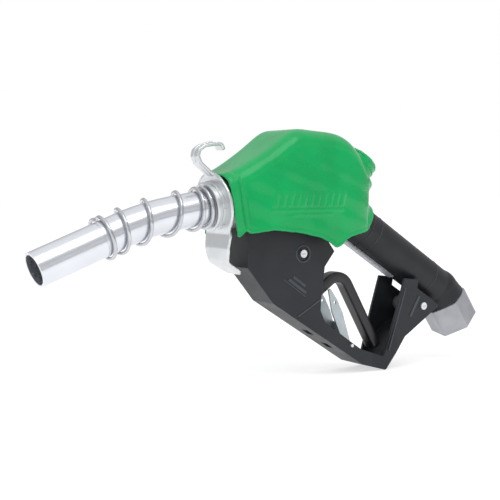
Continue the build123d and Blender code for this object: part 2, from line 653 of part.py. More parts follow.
# the spout's centre line: two straight runs joined by one gentle arc
spout_path = FilletPolyline(point(spout_tip), point(spout_corner), point(plate), radius=spout_bend_r)

stop_groove_at = 59.5
stop_groove_width = 1.0
stop_groove_depth = 0.35

with BuildPart() as spout_tube:
    with BuildSketch(across(spout_tip, spout_front_angle)):
        Circle(spout_r)
        Circle(spout_r - spout_wall, mode=Mode.SUBTRACT)
    sweep(path=spout_path)
    rod(step(spout_tip, port_from_tip, spout_front_angle), spout_front_angle - 90, 1.6, 8, 20, mode=Mode.SUBTRACT)
    turn(spout_tip, spout_front_angle, [
        (stop_groove_at, spout_r - stop_groove_depth), (stop_groove_at, spout_r + 1),
        (stop_groove_at + stop_groove_width, spout_r + 1),
        (stop_groove_at + stop_groove_width, spout_r - stop_groove_depth)], mode=Mode.SUBTRACT)
finish(spout_tube, "spout_tube")

with BuildPart() as spout_adapter:
    turn(plate, spout_rear_angle, [
        (-adapter_front, spout_r + 0.02), (-adapter_front, adapter_r), (adapter_rear - 5, adapter_r),
        (adapter_rear - 5, adapter_r - 1.8), (adapter_rear - 3, adapter_r - 1.8), (adapter_rear - 3, adapter_r),
        (adapter_rear - 0.5, adapter_r), (adapter_rear - 0.5, check_seat_r), (check_seat, check_seat_r),
        (check_seat, check_bore_r), (0.02, check_bore_r), (0.02, spout_r + 0.02)])
finish(spout_adapter, "spout_adapter")

with BuildPart() as adapter_o_ring:
    o_ring(plate, spout_rear_angle, adapter_rear - 4, adapter_r - 0.9, 0.87)
finish(adapter_o_ring, "adapter_o_ring")

with BuildPart() as check_valve_guide:
    rod(plate, spout_rear_angle, check_bore_r - 0.05, 0.05, guide_t)
    with Locations(across(step(plate, -1, spout_rear_angle), spout_rear_angle).location):
        with PolarLocations(7.5, 4):
            Cylinder(3.2, 10, mode=Mode.SUBTRACT)
    rod(plate, spout_rear_angle, 2 + running_gap, -1, guide_t + 1, mode=Mode.SUBTRACT)
finish(check_valve_guide, "check_valve_guide")

with BuildPart() as check_valve_poppet:
    turn(plate, spout_rear_angle, [
        (check_seat - check_lift_gap, 0), (check_seat - check_lift_gap, check_seat_r + 1.5),
        (check_seat - 2.5, check_seat_r + 1.5), (check_seat - 3.5, 2), (-2.0, 2), (-2.0, 0)])
finish(check_valve_poppet, "check_valve_poppet")

with BuildPart() as check_valve_spring:
    coil(plate, spout_rear_angle, guide_t + 0.1, check_seat - 3.7, 3.3, 0.4, 3)
finish(check_valve_spring, "check_valve_spring")

with BuildPart() as spout_nut:
    turn(plate, spout_rear_angle, [
        (-plate_thickness, adapter_r + 0.02), (-plate_thickness, nut_r), (-plate_thickness - 3, nut_r),
        (-plate_thickness - 3.6, nut_r - 1.5), (-plate_thickness - 5, nut_r - 1.5),
        (-plate_thickness - 5.6, nut_r - 0.3), (-nut_front + 0.6, nut_r - 0.3),
        (-nut_front, nut_r - 1.2), (-nut_front, adapter_r + 0.02)])
    with Locations(across(step(plate, -plate_thickness - 1.5, spout_rear_angle), spout_rear_angle).location):
        with PolarLocations(nut_r + 0.6, 8):
            Box(2.4, 4.5, 4, mode=Mode.SUBTRACT)
finish(spout_nut, "spout_nut")

# vacuum tube along the inside of the spout, on the underside
vacuum_r = 2.4
vacuum_aside = spout_r - spout_wall - vacuum_r - 0.3
vacuum_bend = spout_bend_r - vacuum_aside

with BuildPart() as vacuum_tube:
    vacuum_corner = step(spout_corner, 0, (spout_front_angle + spout_rear_angle) / 2,
                         -vacuum_aside / cos(radians((spout_front_angle - spout_rear_angle) / 2)))
    vacuum_start = step(spout_tip, port_from_tip - 3, spout_front_angle, -vacuum_aside)
    vacuum_end = step(plate, -0.3, spout_rear_angle, -vacuum_aside)
    with BuildLine():
        FilletPolyline(point(vacuum_start), point(vacuum_corner), point(vacuum_end), radius=vacuum_bend)
    with BuildSketch(across(vacuum_start, spout_front_angle)):
        Circle(vacuum_r)
        Circle(vacuum_r - 0.6, mode=Mode.SUBTRACT)
    sweep()
finish(vacuum_tube, "vacuum_tube")

# the wire spring round the spout: distances from the tip at each whole turn
spring_rings = [61.5, 66.5, 83.5, 107.0, 136.0, 155.0, 160.5]
spring_r = spout_r + spring_inside_gap + spring_wire / 2
spring_steps = 16


def ring_distance(turns):
    """Distance from the tip after some turns: a smooth curve through the ring distances."""
    n = min(int(turns), len(spring_rings) - 2)
    t = turns - n
    before = spring_rings[max(n - 1, 0)]
    here, after = spring_rings[n], spring_rings[n + 1]
    later = spring_rings[min(n + 2, len(spring_rings) - 1)]
    return 0.5 * (2 * here + (after - before) * t + (2 * before - 5 * here + 4 * after - later) * t ** 2
                  + (3 * here - before - 3 * after + later) * t ** 3)


def spring_point(turns):
    """A left-hand turn: on the near side the wire runs forward and down."""
    share = ring_distance(turns) / spout_path.length
    centre = spout_path @ share
    ahead = spout_path % share
    up = Vector(-ahead.Z, 0, ahead.X)
    a = 2 * pi * turns
    return centre + up * (spring_r * cos(a)) + Vector(0, 1, 0) * (spring_r * sin(a))


wire_path = Spline(*[spring_point(n / spring_steps)
                     for n in range(spring_steps * (len(spring_rings) - 1) + 1)])

with BuildPart() as spout_spring:
    with BuildSketch(Plane(origin=wire_path @ 0, z_dir=wire_path % 0)):
        Circle(spring_wire / 2)
    sweep(path=wire_path)
finish(spout_spring, "spout_spring")
print("spout spring volume / (section x length):",
      spout_spring.part.volume / (pi * (spring_wire / 2) ** 2 * wire_path.length))

# ---------------------------------------------------------------- hook plate
plate_middle = step(plate, -plate_thickness / 2, spout_rear_angle)
# places in front of the plate's middle and above it, square to the plate
hook_places = [(0.0, 23.0), (0.0, 26.0), (11.0, 38.5), (12.6, 44.5), (10.5, 49.5), (4.5, 52.3), (-12.0, 52.0),
               (-13.8, 46.0)]
hook_path = [step(plate_middle, -ahead, spout_rear_angle, height) for ahead, height in hook_places]
strap_places = [(0.0, -22.0), (0.0, -25.0), (3.6, -37.0), (4.4, -49.5)]
strap_path = [step(plate_middle, -ahead, spout_rear_angle, height) for ahead, height in strap_places]
strap_path.append((plate_middle[0] + 21.0, plate_middle[1] - 60.0))
strap_edge = [(19.5, -20.0), (20.0, -28.0), (18.5, -41.0), (15.0, -51.0), (12.5, -66.0), (30.0, -66.0),
              (30.0, -20.0)]

with BuildPart() as hook_plate:
    rod(plate, spout_rear_angle, plate_r, -plate_thickness, 0)
    band(hook_path, plate_thickness, hook_width / 2, radius=3.5)
    band([hook_path[0], hook_path[1]], plate_thickness, hook_width / 2 + 5)
    band(strap_path, plate_thickness, strap_width / 2, radius=6)
    for side in (-1, 1):
        with BuildSketch(across(plate_middle, spout_rear_angle)) as trim:
            with BuildLine():
                Polyline(*[(side * aside, height) for aside, height in strap_edge], close=True)
            make_face()
        extrude(trim.sketch, amount=40, both=True, mode=Mode.SUBTRACT)
    fillet(hook_plate.edges().filter_by(lambda edge: edge.length > 2.5 and edge.length < 3.5)
           .sort_by(Axis.Z)[:2], radius=6)
    rod(plate, spout_rear_angle, adapter_r + 0.3, -plate_thickness - 1, 1, mode=Mode.SUBTRACT)
finish(hook_plate, "hook_plate")

# ---------------------------------------------------------------- scuff cover
# stations along X, from the valve: distance, top, half width
cover_front_gap = 0.6         # hook plate to the boot's front edge
cover_stations = [(-134.0, 26.8, 26.0, 14.0), (-125.0, 30.4, 27.5, 14.0), (-110.0, 37.2, 30.0, 14.0),
                  (-94.0, 46.4, 32.0, 14.0),
                  (-76.0, 58.2, 34.0, 14.0), (-60.0, 68.0, 34.5, 14.0), (-40.0, 68.0, 34.5, 15.0),
                  (-8.0, 64.3, 33.5, 16.0), (8.0, 56.5, 31.0, 18.0), (21.0, 44.5, 26.5, 20.0),
                  (30.0, 32.0, 18.5, 16.0)]
cover_low = -42.0
cover_skirt = [(-128.0, -27.5), (-118.0, -24.5), (-113.0, -19.3), (-108.5, -22.3), (-86.0, -19.7),
               (-57.7, -22.9), (-36.6, -27.7), (-27.0, -32.2), (-19.0, -37.3), (-12.3, -34.8), (-7.7, -30.0),
               (2.5, -27.0), (29.0, -23.0), (56.0, -15.0)]
collar_r = sleeve_r + 3.4        # the boot where it grips the handle's sleeve
collar_end = 35.0             # from the valve, along the handle
bump_aside = 2.8


def cover_body(shrink, stretch):
    """The boot's closed shape, drawn in by `shrink` and longer in front by `stretch`."""
    with BuildPart() as body:
        for index, (reach, top, half, corner) in enumerate(cover_stations):
            x = valve[0] + reach - (stretch if index == 0 else 0)
            if index == len(cover_stations) - 1:
                x -= shrink
            height = top - shrink - cover_low
            with BuildSketch(Plane(origin=(x, 0, valve[1] + cover_low), x_dir=(0, 1, 0), z_dir=(1, 0, 0))):
                RectangleRounded(2 * (half - shrink), 2 * height, corner - shrink / 2)
        loft()
        rod(valve, valve_angle, chamber_r + 2.8 - shrink, -10, chamber_top + cap_flange + 3 - shrink)
        rod(step(valve, 0, valve_angle, bump_aside), valve_angle, 19.3 - shrink, 0, 54.5 - shrink)
    return body.part


with BuildPart() as scuff_cover:
    add(cover_body(0, 0))
    rod(valve, handle_angle, collar_r, 0, collar_end)
    add(cover_body(cover_wall, 5), mode=Mode.SUBTRACT)
    skirt = [(valve[0] + x, valve[1] + z) for x, z in cover_skirt]
    below = [(valve[0] + 90, skirt[-1][1]), (valve[0] + 90, valve[1] - 300), (valve[0] - 160, valve[1] - 300),
             (valve[0] - 160, skirt[0][1])]
    slab(skirt + below, 60, mode=Mode.SUBTRACT)
    face_bottom = step(plate, -90, spout_rear_angle + 90, -cover_front_gap)
    face_top = step(plate, 90, spout_rear_angle + 90, -cover_front_gap)
    slab([face_bottom, face_top, step(face_top, -60, spout_rear_angle), step(face_bottom, -60, spout_rear_angle)],
         60, mode=Mode.SUBTRACT)
    rod(bend, handle_up, sleeve_r + 0.4, 0, handle_length - 10, mode=Mode.SUBTRACT)
finish(scuff_cover, "scuff_cover")
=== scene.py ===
"""Fuel nozzle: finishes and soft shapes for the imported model, in metres and in the model's own frame."""
import json
from math import cos, pi, radians, sin

import bmesh
import bpy
import numpy as np
from bpy.props import FloatProperty, FloatVectorProperty, PointerProperty
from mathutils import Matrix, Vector


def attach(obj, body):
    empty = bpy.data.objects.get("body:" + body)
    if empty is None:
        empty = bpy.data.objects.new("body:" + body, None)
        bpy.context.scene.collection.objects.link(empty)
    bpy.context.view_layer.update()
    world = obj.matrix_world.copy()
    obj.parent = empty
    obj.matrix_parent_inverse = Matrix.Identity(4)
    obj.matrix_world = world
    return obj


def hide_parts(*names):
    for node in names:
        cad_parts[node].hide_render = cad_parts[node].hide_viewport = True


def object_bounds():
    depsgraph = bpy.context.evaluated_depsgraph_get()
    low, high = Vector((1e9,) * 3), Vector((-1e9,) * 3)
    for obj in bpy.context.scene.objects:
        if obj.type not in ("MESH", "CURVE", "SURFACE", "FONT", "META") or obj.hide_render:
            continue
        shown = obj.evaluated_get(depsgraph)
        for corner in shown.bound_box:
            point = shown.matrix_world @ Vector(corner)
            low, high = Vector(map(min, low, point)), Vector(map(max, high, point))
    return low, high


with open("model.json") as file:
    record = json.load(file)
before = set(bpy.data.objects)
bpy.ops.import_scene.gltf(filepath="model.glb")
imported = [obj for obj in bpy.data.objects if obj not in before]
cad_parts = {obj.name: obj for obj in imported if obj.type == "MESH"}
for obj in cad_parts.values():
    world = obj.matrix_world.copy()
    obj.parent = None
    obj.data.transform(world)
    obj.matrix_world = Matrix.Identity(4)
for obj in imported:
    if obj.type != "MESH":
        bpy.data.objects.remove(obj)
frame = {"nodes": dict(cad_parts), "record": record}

bl_info = {
    "name": "Fuel Nozzle Finishes",
    "version": (1, 0, 0),
    "blender": (4, 5, 0),
    "location": "3D View > Sidebar > Nozzle",
    "description": "Adds the boot, the moulded details, the finishes and the studio to the nozzle model",
    "category": "Object",
}

CAD_BOX = [list(corner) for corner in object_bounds()]
NODES = frame["nodes"]
SLOTS = {part["node"]: part["material_slot"] for part in frame["record"]["subparts"]}

MM = 0.001
# places in the plane y = 0, (x, z) in millimetres, and angles from +X towards +Z
VALVE = (-159.76, 121.46)
BEND = (-23.83, 35.19)
PLATE = (-285.06, 123.96)
HANDLE_ANGLE = -32.4
INLET_ANGLE = -55.9
VALVE_ANGLE = 51.1
SPOUT_ANGLE = 9.2
SLEEVE_R = 19.3
CUFF_R = 20.5
FRONT_SCREW = (-203.76, 79.26)
GUARD_HALF_FRONT = 16.5
GUARD_HALF_REAR = 19.8
# the boot's lower edge, from the valve's centre
SKIRT = ((-128, -27.5), (-118, -24.5), (-113, -19.3), (-108.5, -22.3), (-86, -19.7), (-57.7, -22.9),
         (-36.6, -27.7), (-27, -32.2), (-19, -37.3), (-12.3, -34.8), (-7.7, -30), (2.5, -27), (29, -23),
         (56, -15))
BUMP_ASIDE = 2.8                    # the boot's rear bump stands beside the valve's axis
BUMP_R = 19.1
BUMP_RIMS = (45.5, 51.0)            # distances of the rims along that axis
SUNK = 0.3                          # how far an added rib starts inside the wall that it stands on

# folds of the boot behind the hook plate: place from the valve's centre, width, share of the fold's height
FRONT_FOLDS = ((-118.5, 2.6, 1.0), (-113.0, 2.2, 0.7), (-115.8, 1.8, -0.7))
FOLD_LEAN = 0.16                    # how far the folds lean forwards for each millimetre up

# side pattern of the boot, from the valve's centre: x along, z up
BAR_COUNT = 11
BAR_START = -88.0
BAR_PITCH = 7.2
BAR_WIDTH = 3.4
BAR_LEAN = 0.25                     # how far a bar leans forwards for each millimetre up
BAR_FOOT, BAR_HEAD = 1.0, 12.5

# raised details of the guard
CHEEK_RIB = ((-209.3, 22.8), (-184.2, 36.6))
MARK_PLACE = (-225.0, 57.0)
MARK_ANGLE = -35.0
MARKS = ((0.0, 0.0, 29.0, 0.8), (4.5, 3.0, 23.0, 2.6), (7.5, 7.6, 16.0, 2.4))    # along, up, length, width
LEG_RIBS = (((-104.6, -17.0), (-84.0, 42.0), 1.2), ((-78.0, 13.5), (-66.6, 32.5), 2.6))
MARK_HEIGHT = 0.4

# details of the handle and of the hook
SLEEVE_BEADS = (24.0, 108.0, 119.0)                 # distances from the handle's bend towards the valve
RIB_HALF_WIDTH = 4.0
RIB_LINES = (19.6, 20.6)                            # distances of the fine lines from the handle's axis
RIB_START, RIB_LENGTH = 30.0, 68.0
HOOK_BEAD = ((1.0, 26.0), (11.6, 38.0), (14.2, 44.6), (11.8, 50.6), (5.0, 53.9), (-6.0, 53.9))   # ahead, up

# the camera, in metres
CAMERA_TARGET = Vector((-0.2502, 0.0, 0.0834))
CAMERA_SIDE = Vector((-0.5477, -0.8338, 0.0698)).normalized()
CAMERA_DISTANCE = 0.910
CAMERA_LENS = 73.9

# brightness of the surroundings from straight down (0) over the horizon (0.5) to straight up (1)
SKY = ((0.0, 0.70), (0.42, 0.70), (0.472, 0.60), (0.49, 0.17), (0.514, 0.17), (0.54, 0.68), (0.60, 0.80),
       (0.68, 0.56), (0.75, 0.58), (0.88, 0.92), (1.0, 0.98))


def step(place, distance, angle, aside=0.0):
    """The place reached from `place` along `angle`, and `aside` to the left of that way."""
    a = radians(angle)
    return (place[0] + distance * cos(a) - aside * sin(a), place[1] + distance * sin(a) + aside * cos(a))


def spot(place, y=0.0):
    """A place, and a distance along Y, as a point in metres."""
    return Vector((place[0] * MM, y * MM, place[1] * MM))


def axis_of(angle):
    """The direction at an angle in the plane y = 0."""
    a = radians(angle)
    return Vector((cos(a), 0.0, sin(a)))


# ---------------------------------------------------------------- node trees
def new_group(name, inputs, outputs):
    """An empty shader group with its sockets: inputs are (name, kind, default), outputs (name, kind)."""
    group = bpy.data.node_groups.new(name, "ShaderNodeTree")
    for label, kind, default in inputs:
        socket = group.interface.new_socket(label, in_out="INPUT", socket_type="NodeSocket" + kind)
        if default is not None:
            socket.default_value = default
    for label, kind in outputs:
        group.interface.new_socket(label, in_out="OUTPUT", socket_type="NodeSocket" + kind)
    return group, group.nodes.new("NodeGroupInput"), group.nodes.new("NodeGroupOutput")


def node(tree, kind, values=None, **settings):
    """A node with its settings; `values` fills its unlinked inputs by name or number."""
    made = tree.nodes.new("ShaderNode" + kind)
    for key, value in settings.items():
        setattr(made, key, value)
    for key, value in (values or {}).items():
        made.inputs[key].default_value = value
    return made


def link(tree, *pairs):
    """Links each pair of sockets, output first."""
    for source, target in pairs:
        tree.links.new(source, target)


def remap(tree, source, low, high, to_low, to_high):
    """`source` stretched from low..high to to_low..to_high, and held there."""
    mapped = node(tree, "MapRange", {"From Min": low, "From Max": high, "To Min": to_low, "To Max": to_high})
    link(tree, (source, mapped.inputs["Value"]))
    return mapped.outputs["Result"]


def build_grain():
    """Fine surface grain: a height for bump, and a slow patchiness for colour and roughness."""
    group, given, out = new_group(
        "Surface grain",
        [("Vector", "Vector", None), ("Grain Scale", "Float", 2200.0), ("Patch Scale", "Float", 28.0),
         ("Rough Low", "Float", 0.35), ("Rough High", "Float", 0.5)],
        [("Height", "Float"), ("Patch", "Float"), ("Roughness", "Float")])
    fine = node(group, "TexNoise", {"Detail": 3.0, "Roughness": 0.6})
    broad = node(group, "TexNoise", {"Detail": 4.0, "Roughness": 0.55, "Distortion": 0.4})
    fine_part = node(group, "Math", {1: 0.35}, operation="MULTIPLY")
    total = node(group, "Math", {1: 0.65}, operation="MULTIPLY_ADD")
    link(group, (given.outputs["Vector"], fine.inputs["Vector"]),
         (given.outputs["Vector"], broad.inputs["Vector"]),
         (given.outputs["Grain Scale"], fine.inputs["Scale"]),
         (given.outputs["Patch Scale"], broad.inputs["Scale"]),
         (fine.outputs["Fac"], out.inputs["Height"]), (broad.outputs["Fac"], out.inputs["Patch"]),
         (fine.outputs["Fac"], fine_part.inputs[0]), (broad.outputs["Fac"], total.inputs[0]),
         (fine_part.outputs["Value"], total.inputs[2]))
    spread = node(group, "MapRange", {"From Min": 0.3, "From Max": 0.7})
    link(group, (total.outputs["Value"], spread.inputs["Value"]),
         (given.outputs["Rough Low"], spread.inputs["To Min"]),
         (given.outputs["Rough High"], spread.inputs["To Max"]),
         (spread.outputs["Result"], out.inputs["Roughness"]))
    return group


def build_edge_wear():
    """Soft edges: a rounded normal, and a broken mask along the edges where handling has rubbed them."""
    group, given, out = new_group(
        "Edge wear",
        [("Vector", "Vector", None), ("Radius", "Float", 0.0006), ("Break Scale", "Float", 300.0),
         ("Amount", "Float", 0.6)],
        [("Mask", "Float"), ("Normal", "Vector")])
    bevel = node(group, "Bevel", samples=4)
    face = node(group, "NewGeometry")
    dot = node(group, "VectorMath", operation="DOT_PRODUCT")
    noise = node(group, "TexNoise", {"Detail": 3.0})
    link(group, (given.outputs["Radius"], bevel.inputs["Radius"]), (bevel.outputs["Normal"], dot.inputs[0]),
         (face.outputs["Normal"], dot.inputs[1]), (bevel.outputs["Normal"], out.inputs["Normal"]),
         (given.outputs["Vector"], noise.inputs["Vector"]),
         (given.outputs["Break Scale"], noise.inputs["Scale"]))
    edge = remap(group, dot.outputs["Value"], 0.99, 0.8, 0.0, 1.0)
    broken = remap(group, noise.outputs["Fac"], 0.42, 0.62, 0.25, 1.0)
    worn = node(group, "Math", operation="MULTIPLY")
    scaled = node(group, "Math", operation="MULTIPLY")
    link(group, (edge, worn.inputs[0]), (broken, worn.inputs[1]), (worn.outputs["Value"], scaled.inputs[0]),
         (given.outputs["Amount"], scaled.inputs[1]), (scaled.outputs["Value"], out.inputs["Mask"]))
    return group


def build_drawn_lines():
    """Fine lines along one direction, as drawing or polishing leaves on metal; Across and Along are scales."""
    group, given, out = new_group(
        "Drawn lines",
        [("Vector", "Vector", None), ("Angle", "Float", 0.0), ("Across", "Float", 1500.0),
         ("Along", "Float", 18.0)],
        [("Height", "Float")])
    turned = node(group, "VectorRotate", rotation_type="Y_AXIS")
    stretch = node(group, "CombineXYZ")
    scaled = node(group, "VectorMath", operation="MULTIPLY")
    noise = node(group, "TexNoise", {"Scale": 1.0, "Detail": 2.0})
    link(group, (given.outputs["Vector"], turned.inputs["Vector"]),
         (given.outputs["Angle"], turned.inputs["Angle"]),
         (given.outputs["Along"], stretch.inputs["X"]), (given.outputs["Across"], stretch.inputs["Y"]),
         (given.outputs["Across"], stretch.inputs["Z"]), (turned.outputs["Vector"], scaled.inputs[0]),
         (stretch.outputs["Vector"], scaled.inputs[1]), (scaled.outputs["Vector"], noise.inputs["Vector"]),
         (noise.outputs["Fac"], out.inputs["Height"]))
    return group


def place_group(tree, group, vector, **values):
    """A group in a material, fed with coordinates and this material's own values."""
    made = node(tree, "Group", node_tree=group)
    link(tree, (vector, made.inputs["Vector"]))
    for key, value in values.items():
        made.inputs[key.replace("_", " ")].default_value = value
    return made


def finish_material(name, colour, shade, metallic=0.0, rough=(0.35, 0.5), grain=2200.0, patch=28.0, bump=0.1,
                    edge=0.0006, wear=0.0, worn=None, lines=None, line_bump=0.05, **constants):
    """A finish with grain, patches of a second shade, softened edges and, where `lines` is given, drawn lines.

    `rough` is the range of the roughness, `grain` and `patch` are noise scales, `edge` is a radius in metres,
    `worn` is the colour of rubbed edges, and `constants` go straight to the shader's inputs.
    """
    made = bpy.data.materials.new(name)
    made.use_nodes = True
    tree = made.node_tree
    shader = tree.nodes["Principled BSDF"]
    vector = node(tree, "TexCoord").outputs["Object"]
    grain_node = place_group(tree, GROUPS["grain"], vector, Grain_Scale=grain, Patch_Scale=patch,
                             Rough_Low=rough[0], Rough_High=rough[1])
    wear_node = place_group(tree, GROUPS["wear"], vector, Radius=edge, Amount=wear)
    patches = remap(tree, grain_node.outputs["Patch"], 0.35, 0.65, 0.0, 1.0)
    tint = node(tree, "Mix", data_type="RGBA")
    tint.inputs["A"].default_value = (*colour, 1.0)
    tint.inputs["B"].default_value = (*shade, 1.0)
    link(tree, (patches, tint.inputs["Factor"]))
    rubbed = node(tree, "Mix", data_type="RGBA")
    rubbed.inputs["B"].default_value = (*(worn or [min(1.0, c * 1.6 + 0.03) for c in colour]), 1.0)
    link(tree, (wear_node.outputs["Mask"], rubbed.inputs["Factor"]),
         (tint.outputs["Result"], rubbed.inputs["A"]),
         (rubbed.outputs["Result"], shader.inputs["Base Color"]),
         (grain_node.outputs["Roughness"], shader.inputs["Roughness"]))
    bumped = node(tree, "Bump", {"Strength": bump, "Distance": 0.0002})
    link(tree, (grain_node.outputs["Height"], bumped.inputs["Height"]),
         (wear_node.outputs["Normal"], bumped.inputs["Normal"]))
    normal = bumped.outputs["Normal"]
    if lines:
        drawn = place_group(tree, GROUPS["lines"], vector, **lines)
        lined = node(tree, "Bump", {"Strength": line_bump, "Distance": 0.0001})
        link(tree, (drawn.outputs["Height"], lined.inputs["Height"]), (normal, lined.inputs["Normal"]))
        normal = lined.outputs["Normal"]
    link(tree, (normal, shader.inputs["Normal"]))
    shader.inputs["Metallic"].default_value = metallic
    for key, value in constants.items():
        shader.inputs[key.replace("_", " ")].default_value = value
    return made


GROUPS = {}
FINISHES = {}


# ---------------------------------------------------------------- mesh tools
def piece_from_mesh(name, mesh, body, slot, replaced=(), smooth=True, finish=None):
    """Links a mesh as a named piece that rides on a body and stands for the `replaced` CAD nodes.

    It takes its slot's finish, or the named `finish` of the same slot.
    """
    obj = bpy.data.objects.new(name, mesh)
    bpy.context.scene.collection.objects.link(obj)
    mesh.materials.clear()
    mesh.materials.append(FINISHES[finish or slot])
    if smooth:
        mesh.shade_smooth()
    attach(obj, body)
    if replaced:
        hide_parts(*replaced)


def mesh_from(name, vertices, faces):
    """A mesh from points and faces, with its faces turned outwards."""
    mesh = bpy.data.meshes.new(name)
    mesh.from_pydata([tuple(v) for v in vertices], [], faces)
    mesh.update()
    bm = bmesh.new()
    bm.from_mesh(mesh)
    bmesh.ops.recalc_face_normals(bm, faces=bm.faces)
    bm.to_mesh(mesh)
    bm.free()
    return mesh


def turned_ring(name, place, angle, profile, sides=96, sideways=0.0):
    """A closed ring turned round the axis through `place`: profile is (along, radius) in millimetres.

    The axis lies in the plane y = 0 at `angle`, or along Y towards the side that `sideways` (-1 or 1) names.
    """
    along = Vector((0.0, sideways, 0.0)) if sideways else axis_of(angle)
    up = Vector((0.0, 0.0, 1.0)) if sideways else Vector((-along.z, 0.0, along.x))
    side = Vector((sideways, 0.0, 0.0)) if sideways else Vector((0.0, 1.0, 0.0))
    vertices, faces = [], []
    n = len(profile)
    for i in range(sides):
        a = 2 * pi * i / sides
        out = up * cos(a) + side * sin(a)
        for distance, radius in profile:
            vertices.append(spot(place) + along * (distance * MM) + out * (radius * MM))
    for i in range(sides):
        j = (i + 1) % sides
        for k in range(n):
            m = (k + 1) % n
            faces.append((i * n + k, j * n + k, j * n + m, i * n + m))
    return mesh_from(name, vertices, faces)


def bead_profile(start, width, base, height, points=7):
    """A rounded bead on a turned surface: from `base` up to base + height and back, closed underneath."""
    shares = [k / (points - 1) for k in range(points)]
    arc = [(start + width * share, base + height * sin(pi * share)) for share in shares]
    under = base - 0.4
    return arc + [(start + width, under), (start, under)]


def soft_box(name, corners, low, high, side, rounding, segments=3):
    """A prism on an outline of (x, z) corners, with its outer edges rounded.

    It stands between two distances from the plane y = 0, on the side (-1 or 1) that `side` names.
    """
    bm = bmesh.new()
    bottom = [bm.verts.new(spot(c, low * side)) for c in corners]
    top = [bm.verts.new(spot(c, high * side)) for c in corners]
    bm.faces.new(bottom)
    cap = bm.faces.new(list(reversed(top)))
    n = len(corners)
    for i in range(n):
        bm.faces.new((bottom[(i + 1) % n], bottom[i], top[i], top[(i + 1) % n]))
    bmesh.ops.recalc_face_normals(bm, faces=bm.faces)
    bmesh.ops.bevel(bm, geom=list(cap.edges), offset=rounding * MM, segments=segments, affect="EDGES",
                    profile=0.5)
    mesh = bpy.data.meshes.new(name)
    bm.to_mesh(mesh)
    bm.free()
    return mesh


def strip(start, end, width):
    """The four corners of a straight strip of a width, between two places."""
    run = Vector((end[0] - start[0], end[1] - start[1])).normalized() * (width / 2)
    return [(start[0] + run.y, start[1] - run.x), (end[0] + run.y, end[1] - run.x),
            (end[0] - run.y, end[1] + run.x), (start[0] - run.y, start[1] + run.x)]


def joined(name, meshes):
    """One mesh from several."""
    bm = bmesh.new()
    for mesh in meshes:
        bm.from_mesh(mesh)
    made = bpy.data.meshes.new(name)
    bm.to_mesh(made)
    bm.free()
    return made


def settled(data, prepare=None):
    """The mesh that a mesh or curve gives once `prepare` has put its modifiers on an object that holds it."""
    scratch = bpy.data.objects.new("scratch", data)
    bpy.context.scene.collection.objects.link(scratch)
    if prepare:
        prepare(scratch)
    graph = bpy.context.evaluated_depsgraph_get()
    mesh = bpy.data.meshes.new_from_object(scratch.evaluated_get(graph), depsgraph=graph)
    bpy.data.objects.remove(scratch)
    if not mesh.polygons:
        raise RuntimeError(f"{data.name} gave an empty mesh")
    return mesh


def softened(node_name, voxel, smoothing):
    """A copy of a CAD node's mesh, remeshed evenly and smoothed so that its edges and joins are soft."""
    def prepare(scratch):
        remesh = scratch.modifiers.new("even", "REMESH")
        remesh.mode = "VOXEL"
        remesh.voxel_size = voxel * MM
        remesh.use_smooth_shade = True
        smooth = scratch.modifiers.new("soft", "SMOOTH")
        smooth.factor = 0.5
        smooth.iterations = smoothing

    return settled(NODES[node_name].data.copy(), prepare)


def coordinates(mesh):
    """The places and the normals of a mesh's points, as two arrays."""
    co = np.empty(len(mesh.vertices) * 3)
    mesh.vertices.foreach_get("co", co)
    no = np.empty(len(mesh.vertices) * 3)
    mesh.vertices.foreach_get("normal", no)
    return co.reshape(-1, 3), no.reshape(-1, 3)


def bell(value, centre, width):
    """A smooth bump of height 1 at `centre`, gone beyond `width`."""
    t = np.clip(np.abs(value - centre) / width, 0.0, 1.0)
    return (1 - t * t) ** 2


def band(value, low, high, soft):
    """1 between low and high, falling to 0 over `soft` outside."""
    rise = np.clip((value - low + soft) / soft, 0.0, 1.0)
    fall = np.clip((high + soft - value) / soft, 0.0, 1.0)
    t = np.minimum(rise, fall)
    return t * t * (3 - 2 * t)


# ---------------------------------------------------------------- settings a user would change
def colour_property(name, description, default):
    """A colour setting."""
    return FloatVectorProperty(name=name, description=description, default=default, subtype="COLOR", size=3,
                               min=0.0, max=1.0)


def size_property(name, description, default):
    """A length setting, in metres."""
    return FloatProperty(name=name, description=description, default=default, unit="LENGTH", min=0.0, max=0.05)


class BootSettings(bpy.types.PropertyGroup):
    """The boot's colours and relief"""
    colour: colour_property("Boot colour", "Main colour of the moulded boot", (0.0, 0.40, 0.105))
    shade: colour_property("Boot shade", "Second colour, in slow patches", (0.0, 0.335, 0.085))
    fold: size_property("Front fold", "Height of the rolled folds behind the hook plate", 0.0011)
    lip: size_property("Edge lip", "How far the lower edge is rolled out", 0.0007)
    panel: size_property("Panel relief", "Height of the raised bars on the sides", 0.0008)


class PlasticSettings(bpy.types.PropertyGroup):
    """The black plastics and the guard's ribs"""
    guard: colour_property("Guard colour", "Colour of the moulded hand guard", (0.016, 0.019, 0.023))
    sleeve: colour_property("Sleeve colour", "Colour of the handle sleeve", (0.014, 0.015, 0.018))
    grip: colour_property("Grip colour", "Colour of the lever's coating", (0.008, 0.008, 0.010))
    rib: size_property("Guard rib", "Height of the raised rib on the cheeks", 0.0007)


class MetalSettings(bpy.types.PropertyGroup):
    """The colours of the metals"""
    spout: colour_property("Spout colour", "Colour of the spout tube", (0.74, 0.76, 0.80))
    casting: colour_property("Casting colour", "Colour of the cast body", (0.42, 0.43, 0.46))
    plating: colour_property("Plating colour", "Colour of the plated hook plate and nut", (0.70, 0.72, 0.73))
    clip: colour_property("Clip colour", "Colour of the stamped hold-open clip", (0.50, 0.56, 0.58))


